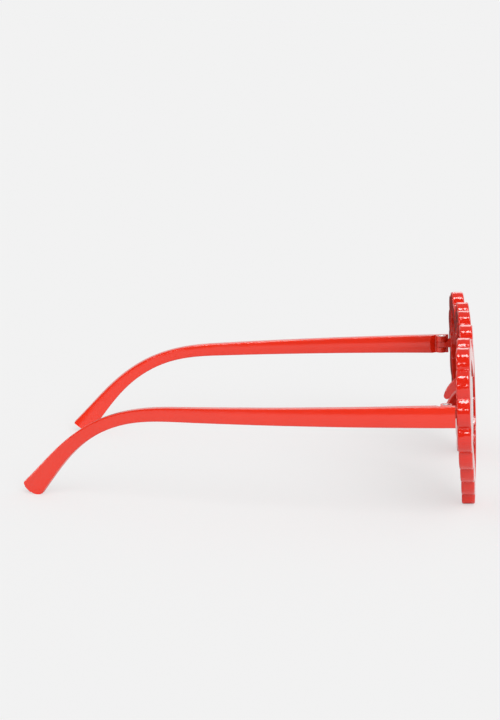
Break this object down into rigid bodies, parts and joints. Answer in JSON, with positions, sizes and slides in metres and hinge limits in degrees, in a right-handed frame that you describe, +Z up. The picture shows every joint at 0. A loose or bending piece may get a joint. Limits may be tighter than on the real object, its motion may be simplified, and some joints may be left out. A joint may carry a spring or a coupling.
{
  "type": "heart-shaped sunglasses",
  "caption": "Folding sunglasses with scalloped heart-shaped rims, dark sheet lenses, moulded nose pads and bowed side arms that fold on screw hinges.",
  "frame": {"origin": "centre of the footprint, on the surface that the open glasses stand on", "axes": "+Z up, -Y ahead of the wearer, +X to the wearer's left"},
  "size_m": [0.116, 0.1306, 0.0505],
  "materials": {
    "red_plastic": "polished opaque moulding",
    "smoke_lens": "dark smoke tint, polished",
    "screw_steel": "bright turned"
  },
  "bodies": {
    "front": {"front_frame": "red_plastic", "lens_right": "smoke_lens", "lens_left": "smoke_lens"},
    "right_temple": {"temple_right": "red_plastic", "hinge_screw_right": "screw_steel"},
    "left_temple": {"temple_left": "red_plastic", "hinge_screw_left": "screw_steel"}
  },
  "joints": [
    {"name": "right_temple_fold", "type": "hinge", "parent": "front", "child": "right_temple", "pos_m": [-0.05351, -0.05522, 0.03084], "axis": [0, -0.048, -0.9988], "range_deg": [0, 68]},
    {"name": "left_temple_fold", "type": "hinge", "parent": "front", "child": "left_temple", "pos_m": [0.05351, -0.05522, 0.03084], "axis": [0, 0.048, 0.9988], "range_deg": [0, 84]}
  ]
}
